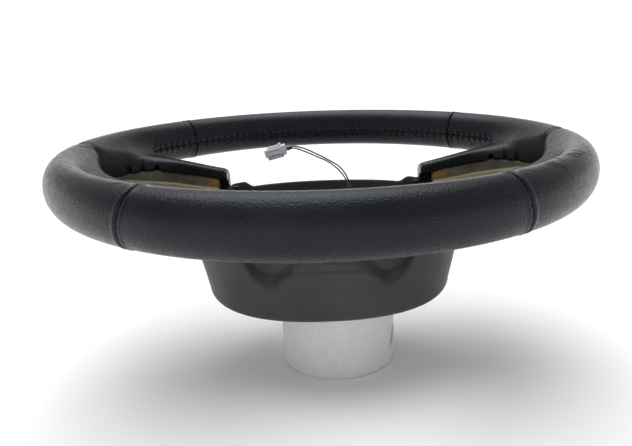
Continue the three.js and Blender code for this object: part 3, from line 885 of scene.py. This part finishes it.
COVER_TOP = 124.0
COVER_BOTTOM = 57.0
COVER_WALL = 2.5
COVER_CORNER = 12.0
COVER_OVAL = ((102.5, 83.0), (91.0, 73.5))  # half sizes at the upper edge and above the corner
COLUMN_R = 52.0  # radius of the opening for the column
SCREW_Z = 110.5  # height of the airbag screws, the lids and their holes
LID_R = 10.6
LID_HOLE_R = 11
EAR_X = 74.0
SCOOP_DEPTH = 9.0
SCOOP_HALF = 63.0
# The scoop's lower edge: (distance from the middle, height from the rim's centreline)
SCOOP_EDGE = [(0, -61), (19, -61), (25, -62.5), (31, -69), (36, -74), (41, -74.5), (47, -71),
              (52, -66), (58, -55), (63, -46)]
HOLE_Z = RIM_Z - 52  # height of the round hole in the scoop
COVER_SCREWS = [(64, 22), (64, -22), (-64, 22), (-64, -22)]


def oval(a, b, turns):
    """Points of a rounded oval."""
    c, s = np.cos(turns), np.sin(turns)
    power = 2 / 2.25
    return a * np.sign(c) * np.abs(c) ** power, b * np.sign(s) * np.abs(s) ** power


def scoop(x, y, z):
    """How far the face at 6 o'clock is pushed in: two soft lobes round a crisp flat-topped boss."""
    side = np.abs(x)
    edge = RIM_Z + read(SCOOP_EDGE, side, 2)
    soft = ease((side - 26) / 8)
    rise = np.clip((z - edge) / (7.5 + 3.5 * soft), 0, 1)
    depth = SCOOP_DEPTH * (rise + (ease(rise) - rise) * soft) * ease((SCOOP_HALF - side) / 14)
    return np.where(y < 0, depth, 0)


def cover_ring(a, b, z, inset, turns):
    """One ring of the cover's wall, with its ears and its scoop."""
    x, y = oval(a - inset, b - inset, turns)
    rise = 5 * ease(1.4 - np.abs(np.abs(x) - EAR_X) / 8.5)
    height = z + ease((z - COVER_TOP + 12) / 12) * rise
    return np.stack([x, y + scoop(x, y, height), height], axis=1)


def cover_shell():
    """Points and faces of the cover's wall and back, without its holes."""
    turns = np.linspace(0, 2 * math.pi, 420, endpoint=False)
    (top_a, top_b), (low_a, low_b) = COVER_OVAL
    low_z = COVER_BOTTOM + COVER_CORNER

    def wall(z, inset):
        t = (COVER_TOP - z) / (COVER_TOP - low_z)
        return cover_ring(top_a + (low_a - top_a) * t, top_b + (low_b - top_b) * t, z, inset, turns)

    def corner(angle, inset, radius):
        t = math.radians(angle)
        give = COVER_CORNER - radius * math.cos(t) - inset
        z = low_z - radius * math.sin(t)
        return cover_ring(low_a - give, low_b - give, z, inset, turns)

    def back(share, z, inset):
        x, y = oval(low_a - COVER_CORNER, low_b - COVER_CORNER, turns)
        angle = np.arctan2(y, x)
        hole_x, hole_y = COLUMN_R * np.cos(angle), COLUMN_R * np.sin(angle)
        ring = [hole_x + (x - hole_x) * share, hole_y + (y - hole_y) * share, z + 0 * x]
        return np.stack(ring, axis=1)

    inner_r = COVER_CORNER - COVER_WALL
    rings = [back(t, COVER_BOTTOM, 0) for t in (0, 0.02, 0.3, 0.6, 0.9, 1)]
    rings += [corner(angle, 0, COVER_CORNER) for angle in range(80, -1, -10)]
    rings += [wall(z, 0) for z in np.arange(low_z + 1.5, COVER_TOP - 0.9, 1.25)]
    rings += [wall(COVER_TOP - 0.55, 0), wall(COVER_TOP - 0.15, 0.2), wall(COVER_TOP, 0.55)]
    rings += [wall(COVER_TOP, 1.95), wall(COVER_TOP - 0.15, 2.3), wall(COVER_TOP - 0.55, 2.5)]
    rings += [wall(z, COVER_WALL) for z in np.arange(COVER_TOP - 2, low_z, -2.5)]
    rings += [corner(angle, COVER_WALL, inner_r) for angle in range(0, 81, 10)]
    rings += [back(t, COVER_BOTTOM + COVER_WALL, 0) for t in (1, 0.6, 0.3, 0.02, 0)]
    count = len(turns)
    points = np.concatenate(rings)
    faces = []
    for i in range(len(rings)):
        here, there = i * count, (i + 1) % len(rings) * count
        for j in range(count):
            k = (j + 1) % count
            faces.append((here + j, here + k, there + k, there + j))
    faces = np.array(faces)
    if enclosed(points, faces) < 0:
        faces = faces[:, ::-1]
    return points, faces


def rods(places):
    """Points and faces of round rods, each (one end, other end, radius, sides)."""
    points, faces = [], []
    for start, end, radius, sides in places:
        more, corners = tube_mesh(np.linspace(start, end, 2), radius, sides)
        faces += [tuple(i + len(points) for i in face) for face in corners]
        points += more
    return points, faces


def cut(thing, tool, how):
    """Cuts a piece with another that is then thrown away."""
    change = thing.modifiers.new("cut", "BOOLEAN")
    change.operation = how
    change.solver = "EXACT"
    change.object = tool
    keep_result(thing)
    bpy.data.objects.remove(tool)


def tool_of(points, faces):
    """A plain object to cut with."""
    thing = new_mesh("tool", points, faces, None)
    bm = bmesh.new()
    bm.from_mesh(thing.data)
    bmesh.ops.recalc_face_normals(bm, faces=bm.faces)
    bm.to_mesh(thing.data)
    bm.free()
    return thing


def sharpen(thing, degrees_over):
    """Smooth shading, but with creases where faces meet at more than an angle."""
    bm = bmesh.new()
    bm.from_mesh(thing.data)
    for face in bm.faces:
        face.smooth = True
    for edge in bm.edges:
        if len(edge.link_faces) == 2:
            edge.smooth = edge.calc_face_angle() < math.radians(degrees_over)
    bm.to_mesh(thing.data)
    bm.free()


def make_cover():
    """The rear cover with its holes, and its two lids."""
    points, faces = cover_shell()
    plain = faces.tolist()

    def across(side, radius):
        """A rod through the cover's side, at the height of the airbag screws."""
        return (side * 80, 0, SCREW_Z), (side * 120, 0, SCREW_Z), radius, 64

    cover = new_mesh("rear_cover_shell", points, plain, COVER_PLASTIC)
    holes = [((x, y, 50), (x, y, 69), 4.4, 24) for x, y in COVER_SCREWS]
    holes += [((0, -60, HOLE_Z), (0, -95, HOLE_Z), 5.5, 36)]
    holes += [across(side, LID_HOLE_R) for side in (1, -1)]
    cut(cover, tool_of(*rods(holes)), "DIFFERENCE")
    sharpen(cover, 35)
    put_on(cover, "wheel")
    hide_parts("rear_cover")
    for side, name in ((1, "right"), (-1, "left")):
        body = name + "_lid"
        lid = new_mesh(name + "_access_lid", points, plain, COVER_PLASTIC)
        cut(lid, tool_of(*rods([across(side, LID_R)])), "INTERSECT")
        sharpen(lid, 35)
        put_on(lid, body)
        legs = [box_mesh((side * 95.5, 0, SCREW_Z + up), (8, 6, 1.4)) for up in (8.6, -8.6)]
        snap = joined(name + "_lid_legs", legs, body, "black_plastic", COVER_PLASTIC)
        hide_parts("access_lid_" + name)
        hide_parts("access_lid_" + name)


def box_mesh(middle, size, bevel=0.35, turn=0.0):
    """Points and faces of a box with small bevels, turned about Y by turn degrees."""
    bm = bmesh.new()
    bmesh.ops.create_cube(bm, size=1)
    bmesh.ops.scale(bm, vec=size, verts=bm.verts)
    bmesh.ops.bevel(bm, geom=bm.edges[:], offset=bevel, segments=2, affect="EDGES", profile=0.5)
    bmesh.ops.rotate(bm, matrix=Matrix.Rotation(math.radians(turn), 3, "Y"), verts=bm.verts)
    bmesh.ops.translate(bm, vec=middle, verts=bm.verts)
    points = [tuple(v.co) for v in bm.verts]
    faces = [tuple(v.index for v in f.verts) for f in bm.faces]
    bm.free()
    return points, faces


def joined(name, meshes, body, slot, material):
    """One piece from several closed meshes."""
    points, faces = [], []
    for more, corners in meshes:
        faces += [tuple(i + len(points) for i in face) for face in corners]
        points += list(more)
    return mesh_of(name, points, faces, body, slot, material, smooth=False)


POST_WALL = [(2.3, 99.4), (5.6, 99.4), (6, 99), (6, 59.6), (4.4, 59.6), (4.4, 68.6), (2.3, 69)]
# The four walls of a socket: (x, z, width, height)
SOCKET_WALLS = [(77, 127.6, 8.4, 1.1), (73.3, 124, 1.1, 8), (80.7, 124, 1.1, 8),
                (77, 120.5, 8.4, 1.1)]


def make_cover_fittings():
    """The posts under the hub plate, and a socket with two slanted ribs inside each ear."""
    posts = [turned(POST_WALL, at, 28) for at in COVER_SCREWS]
    joined("screw_posts", posts, "wheel", "black_plastic", COVER_PLASTIC)
    parts = []
    for sx in (1, -1):
        for sy in (1, -1):
            for x, z, wide, tall in SOCKET_WALLS:
                parts.append(box_mesh((sx * x, sy * 51.5, z), (wide, 5.0, tall), 0.3))
            parts.append(box_mesh((sx * 83.0, sy * 45.5, 122.5), (1.3, 8, 12), 0.4, sx * -28))
            parts.append(box_mesh((sx * 88.0, sy * 39.5, 121.0), (1.3, 7, 11), 0.4, sx * -30))
    joined("ear_sockets", parts, "wheel", "black_plastic", DARK_PLASTIC)


def turned(outline, at, sides):
    """Points and faces of a ring turned about a vertical axis from (radius, z) rows."""
    count = len(outline)
    points = []
    for j in range(sides):
        t = 2 * math.pi * j / sides
        points += [(at[0] + r * math.cos(t), at[1] + r * math.sin(t), z) for r, z in outline]
    faces = []
    for j in range(sides):
        here, there = j * count, (j + 1) % sides * count
        for i in range(count):
            k = (i + 1) % count
            faces.append((here + i, here + k, there + k, there + i))
    faces = np.array(faces)
    if enclosed(np.array(points), faces) < 0:
        faces = faces[:, ::-1]
    return points, faces.tolist()


# ------------------------------------------------------------------ connector

LEAD_END = np.array([-30.4, 30.1, RIM_Z + 3])  # where the wires go into the housing
LEAD_TILT = math.radians(14)
CAVITY_Y = 2.2  # each wire's distance from the connector's middle


def lead_frame(points):
    """Points from the connector's own frame, whose wires leave along +X, to the wheel's."""
    c, s = math.cos(LEAD_TILT), math.sin(LEAD_TILT)
    x, y, z = np.asarray(points, float).T
    return np.stack([c * x - s * z, y, s * x + c * z], axis=1) + LEAD_END


def block_distance(x, y, z, middle, size, edge):
    """Distance from a box with rounded edges."""
    gaps = [np.abs(v - m) - s / 2 + edge for v, m, s in zip((x, y, z), middle, size)]
    over = np.sqrt(sum(np.maximum(g, 0) ** 2 for g in gaps))
    return over + np.minimum(np.maximum.reduce(gaps), 0) - edge


def housing_distance(x, y, z):
    """The connector's housing: a body, a narrower keel, grooves and two cavities for wires."""
    body = block_distance(x, y, z, (-8.7, 0, 0.6), (16.6, 9, 5.8), 0.7)
    keel = block_distance(x, y, z, (-9.4, 0, -3.2), (12.6, 6.4, 3.6), 0.6)
    body = np.minimum(body, keel)
    collar = block_distance(x, y, z, (-2.2, 0, 0.2), (3.4, 9, 7.6), 0.6)
    body = np.minimum(body, collar)
    for side in (-CAVITY_Y, CAVITY_Y):
        body = np.maximum(body, -block_distance(x, y, z, (0, side, 1.4), (6, 2.6, 2.9), 0.3))
    body = np.maximum(body, -block_distance(x, y, z, (-17, 0, 0.8), (7, 7, 3.4), 0.3))
    for side in (-4.5, 4.5):
        body = np.maximum(body, -block_distance(x, y, z, (-10, side, 1), (9, 0.9, 1.4), 0.2))
    for at in (-13, -10.5, -8):
        body = np.maximum(body, -block_distance(x, y, z, (at, 0, -1.7), (1.0, 9.6, 0.7), 0.2))
    return body


def latch_distance(x, y, z):
    """The latch on the housing's top, with a thumb step."""
    arm = block_distance(x, y, z, (-9, 0, 4.4), (11, 3.4, 1.1), 0.35)
    step = block_distance(x, y, z, (-4.5, 0, 5.2), (2, 3.4, 1.4), 0.35)
    foot = block_distance(x, y, z, (-13.8, 0, 3.7), (1.4, 3.0, 1.6), 0.3)
    return np.minimum(np.minimum(arm, step), foot)


def lead_ring(outline, sides, scale, middle):
    """A ring turned about the wires' direction from (radius, distance) rows."""
    at, corners = turned(outline, (0, 0), sides)
    at = np.array(at)[:, (2, 1, 0)] * scale + middle
    return lead_frame(at), [tuple(reversed(face)) for face in corners]


def make_connector():
    """The housing, its latch, its seals and the sleeve over the two wires."""
    ends = []
    for name, shape, node in (
        ("connector_housing_shell", housing_distance, "connector_housing"),
        ("connector_latch_arm", latch_distance, "connector_latch"),
    ):
        points, faces = skin(shape, (-18.5, -5.5, -6), (1.5, 5.5, 7), 0.25)
        part = mesh_of(
            name, lead_frame(points), faces.tolist(), "wheel", "grey_plastic", GREY_PLASTIC
        )
        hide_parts(node)
        ends.append(part)
    seals = [
        lead_ring([(0.7, 0.2), (1.1, 0.2), (1.1, -2.6), (0.7, -2.6)], 14, (1, 1, 1), (0, side, 1.2))
        for side in (-CAVITY_Y, CAVITY_Y)
    ]
    ends.append(joined("wire_seals", seals, "wheel", "brown_wire", SEAL))
    outline = [(2.9 - 0.075 * i + 0.12 * math.sin(i * 2.1), 0.6 + 0.33 * i) for i in range(13)]
    outline += [(1.7, 4.6), (2.2, 0.6)]
    ring = lead_ring(outline, 24, (1, 0.8, 0.62), (0, 0, 0))
    sleeve = mesh_of("wire_sleeve", *ring, "wheel", "black_plastic", DARK_PLASTIC)
    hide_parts("lead_sleeve")
    ends.append(sleeve)
    return ends


# ------------------------------------------------------------------ card tube

TUBE_X = 5.0
TUBE_TOP = 99.65
TUBE_BORE_R = 39.4
TUBE_R = 43.6
PAPER_R = 44.15
PAPER_TOP = 98.65
# Two tears in the paper: (degrees round from 3 o'clock, height)
TEAR = [(-28, 12.5), (-26.2, 18.5), (-22.5, 23), (-19, 27.4), (-11, 27.7), (-8, 22), (-14, 17),
        (-24, 11.8)]
SMALL_TEAR = [(-17, 1.2), (-15.5, 3.4), (-12, 3.9), (-11, 0.8)]


def inside_ragged(angle, z, outline, ragged):
    """Whether each point is inside a torn outline in (degrees, height), with a ragged edge."""
    x = angle + ragged * np.sin(z * 3.1 + np.sin(z * 7.7) * 1.3)
    y = z + ragged * 0.6 * np.sin(angle * 2.3 + np.sin(angle * 5.1))
    inside = np.zeros(x.shape, bool)
    for (x0, y0), (x1, y1) in zip(outline, outline[1:] + outline[:1]):
        crosses = (y0 > y) != (y1 > y)
        at = x0 + (x1 - x0) * (y - y0) / (y1 - y0 if y1 != y0 else 1)
        inside ^= crosses & (x < at)
    return inside


def make_tube():
    """The card tube."""
    inner, outer, worn = TUBE_BORE_R, TUBE_R, 0.3
    wall = [(inner, worn), (inner + worn, 0), (outer - worn, 0), (outer, worn),
            (outer, TUBE_TOP - worn), (outer - worn, TUBE_TOP), (inner + worn, TUBE_TOP),
            (inner, TUBE_TOP - worn)]
    points, faces = turned(wall, (TUBE_X, 0), 160)
    tube = mesh_of("card_tube", points, faces, "stand", "card", CARD, smooth=False)
    sharpen(tube, 50)
    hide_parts("stand_tube")


def make_paper():
    """The paper on the tube, torn in two places near 3 o'clock."""
    angles = np.radians(np.concatenate([np.arange(-45, 10, 0.5), np.arange(10, 315, 2.5)]))
    heights = np.concatenate([np.arange(0.5, 32, 0.4), np.arange(33, 98.7, 3), [PAPER_TOP]])
    angle, z = np.meshgrid(angles, heights)
    degrees = np.degrees(angle)
    torn = inside_ragged(degrees, z, TEAR, 0.9) | inside_ragged(degrees, z, SMALL_TEAR, 0.5)
    dent = 0.10 * np.sin(angle * 3 + z * 0.05) + 0.06 * np.sin(z * 0.21 + angle * 5)
    walls = []
    for r in (PAPER_R + dent - 0.5 * torn, TUBE_R + 0.02 + 0 * angle):
        wall = np.stack([TUBE_X + r * np.cos(angle), r * np.sin(angle), z], axis=2)
        walls.append(wall.reshape(-1, 3))
    points = np.concatenate(walls)
    rows, columns = angle.shape
    inner = rows * columns  # where the inner wall's points start
    faces = []
    for i in range(rows - 1):
        for j in range(columns):
            k = (j + 1) % columns
            here, above = i * columns, (i + 1) * columns
            a, b, c, d = here + j, here + k, above + k, above + j
            faces.append((a, b, c, d))
            faces.append((d + inner, c + inner, b + inner, a + inner))
    for j in range(columns):
        k = (j + 1) % columns
        faces.append((j + inner, k + inner, k, j))
        a, b = (rows - 1) * columns + j, (rows - 1) * columns + k
        faces.append((a, b, b + inner, a + inner))
    faces = np.array(faces)
    if enclosed(points, faces) < 0:
        faces = faces[:, ::-1]
    paper = mesh_of("paper_wrap", points, faces.tolist(), "stand", "paper", PAPER)
    store_number(paper, "torn", np.tile(torn.ravel(), 2).astype(float))
    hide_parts("stand_paper")


# ------------------------------------------------------------------ the rest of the hub

CARRIED_OVER = {
    "armature_casting": CAST_METAL,
    "splined_boss": BRIGHT_STEEL,
    "terminal_block": DARK_PLASTIC,
    "terminal_screw": BRIGHT_STEEL,
}
for place in (1, 2, 3, 4):
    CARRIED_OVER[f"cover_screw_{place}"] = BRIGHT_STEEL
for side in ("right", "left"):
    CARRIED_OVER["screw_case_" + side] = DARK_PLASTIC
    CARRIED_OVER["airbag_screw_" + side] = BRIGHT_STEEL


def paint_carried_over():
    """Gives the hub's CAD pieces their materials."""
    for node, material in CARRIED_OVER.items():
        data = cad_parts[node].data
        data.materials.clear()
        data.materials.append(material)


lead_ends = make_connector()
make_wire("brown_wire", BROWN_ROUTE, BROWN_WIRE, "wire_brown", "brown_wire")
make_wire("grey_wire", GREY_ROUTE, GREY_WIRE, "wire_grey", "grey_wire")
make_leather()
make_foam()
make_lacing()
make_cover()
make_cover_fittings()
make_tube()
make_paper()
paint_carried_over()
